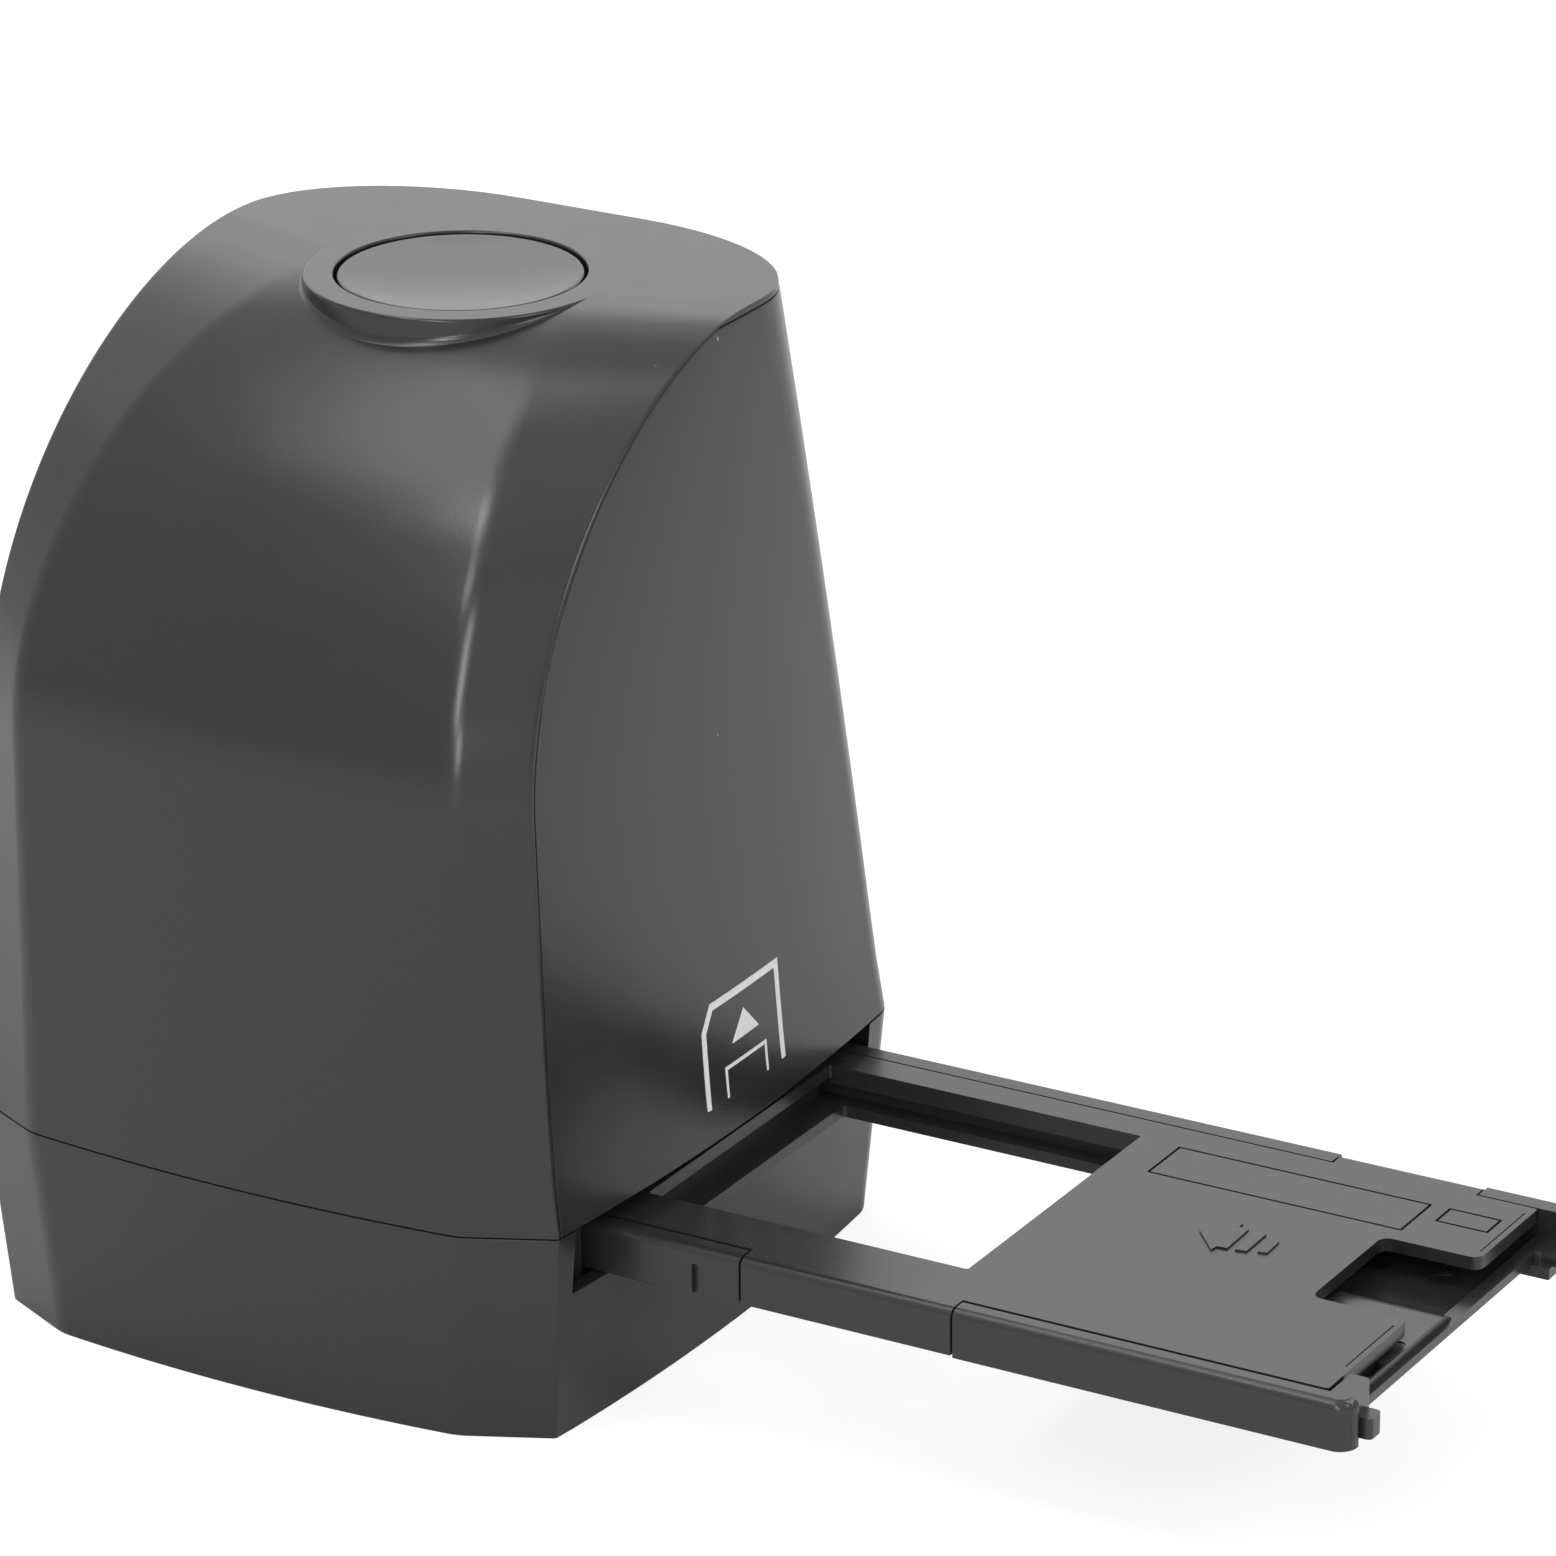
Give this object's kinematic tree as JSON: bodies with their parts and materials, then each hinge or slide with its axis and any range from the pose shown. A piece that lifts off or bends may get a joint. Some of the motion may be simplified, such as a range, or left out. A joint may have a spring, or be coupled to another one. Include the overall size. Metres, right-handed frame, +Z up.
{
  "type": "film scanner",
  "caption": "Desktop film and slide scanner: a curved tower over a through slot, a push button on top, and a pull-out slide holder with a hinged lid.",
  "frame": {"origin": "on the resting plane, directly under the optical axis of the camera, midway between the tower's sides", "axes": "+X towards the side the slide holder is pulled out of, -Y towards the curved front, +Z up along the optical axis"},
  "size_m": [0.1995, 0.0958, 0.1356],
  "materials": {
    "housing": "fine matte moulded texture",
    "print_white": "matte screen print",
    "rubber_black": "matte",
    "screw_steel": "zinc plated",
    "inner_black": "matte",
    "spring_steel": "bright",
    "board_green": "solder mask",
    "led_white": "phosphor",
    "white_plastic": "satin",
    "opal": "opal satin",
    "clear_window": "clear",
    "lens_glass": "coated",
    "filter_glass": "coated",
    "ring_metal": "anodised",
    "chip_black": "moulded",
    "sensor_dark": "cover glass",
    "ribbon": "polyimide film",
    "socket_metal": "tin plated",
    "holder_plastic": "satin, faint brushed grain",
    "guide_plastic": "matte",
    "plunger_plastic": "matte"
  },
  "bodies": {
    "tower": {"base_shell": "housing", "body_shell": "housing", "front_cover": "housing", "insertion_mark": "print_white", "rubber_feet": "rubber_black", "base_screws": "screw_steel", "tray_channel": "inner_black", "front_rail": "inner_black", "rear_rail": "inner_black", "channel_screws": "screw_steel", "detent_spring": "spring_steel", "backlight_board": "board_green", "backlight_leds": "led_white", "light_box": "white_plastic", "diffuser": "opal", "dust_window": "clear_window", "optical_frame": "inner_black", "frame_screws": "screw_steel", "light_shroud": "inner_black", "lens_holder": "inner_black", "focus_ring": "ring_metal", "lens_barrel": "inner_black", "front_lens": "lens_glass", "rear_lens": "lens_glass", "ir_filter": "filter_glass", "image_sensor": "sensor_dark", "sensor_board": "board_green", "sensor_screws": "screw_steel", "sensor_ribbon": "ribbon", "main_board": "board_green", "main_chips": "chip_black", "board_screws": "screw_steel", "usb_socket": "socket_metal", "backlight_ribbon": "ribbon", "button_guide": "guide_plastic", "guide_screws": "screw_steel", "button_board": "board_green", "button_board_screws": "screw_steel", "tact_switch": "chip_black", "button_spring": "spring_steel"},
    "button": {"scan_button": "housing"},
    "plunger": {"switch_plunger": "plunger_plastic"},
    "holder": {"tray_frame": "holder_plastic", "lid_hinge_pins": "spring_steel"},
    "holder_lid": {"tray_lid": "holder_plastic"}
  },
  "joints": [
    {"name": "holder_slide", "type": "slide", "parent": "tower", "child": "holder", "axis": [1, 0, 0], "range_m": [-0.1346, 0.04]},
    {"name": "lid_hinge", "type": "hinge", "parent": "holder", "child": "holder_lid", "pos_m": [0.0673, 0.0298, 0.0254], "axis": [-1, 0, 0], "range_deg": [0, 1.7]},
    {"name": "button_press", "type": "slide", "parent": "tower", "child": "button", "axis": [0, 0, -1], "range_m": [0, 0.0008], "stiffness_N_per_m": 1200, "springref_m": -0.0003, "deforming": ["button_spring"]},
    {"name": "plunger_press", "type": "slide", "parent": "tower", "child": "plunger", "axis": [0, 0, -1], "range_m": [0, 0.0008]}
  ],
  "couplings": [
    {"joint": "plunger_press", "follows": "button_press", "ratio": 1}
  ]
}
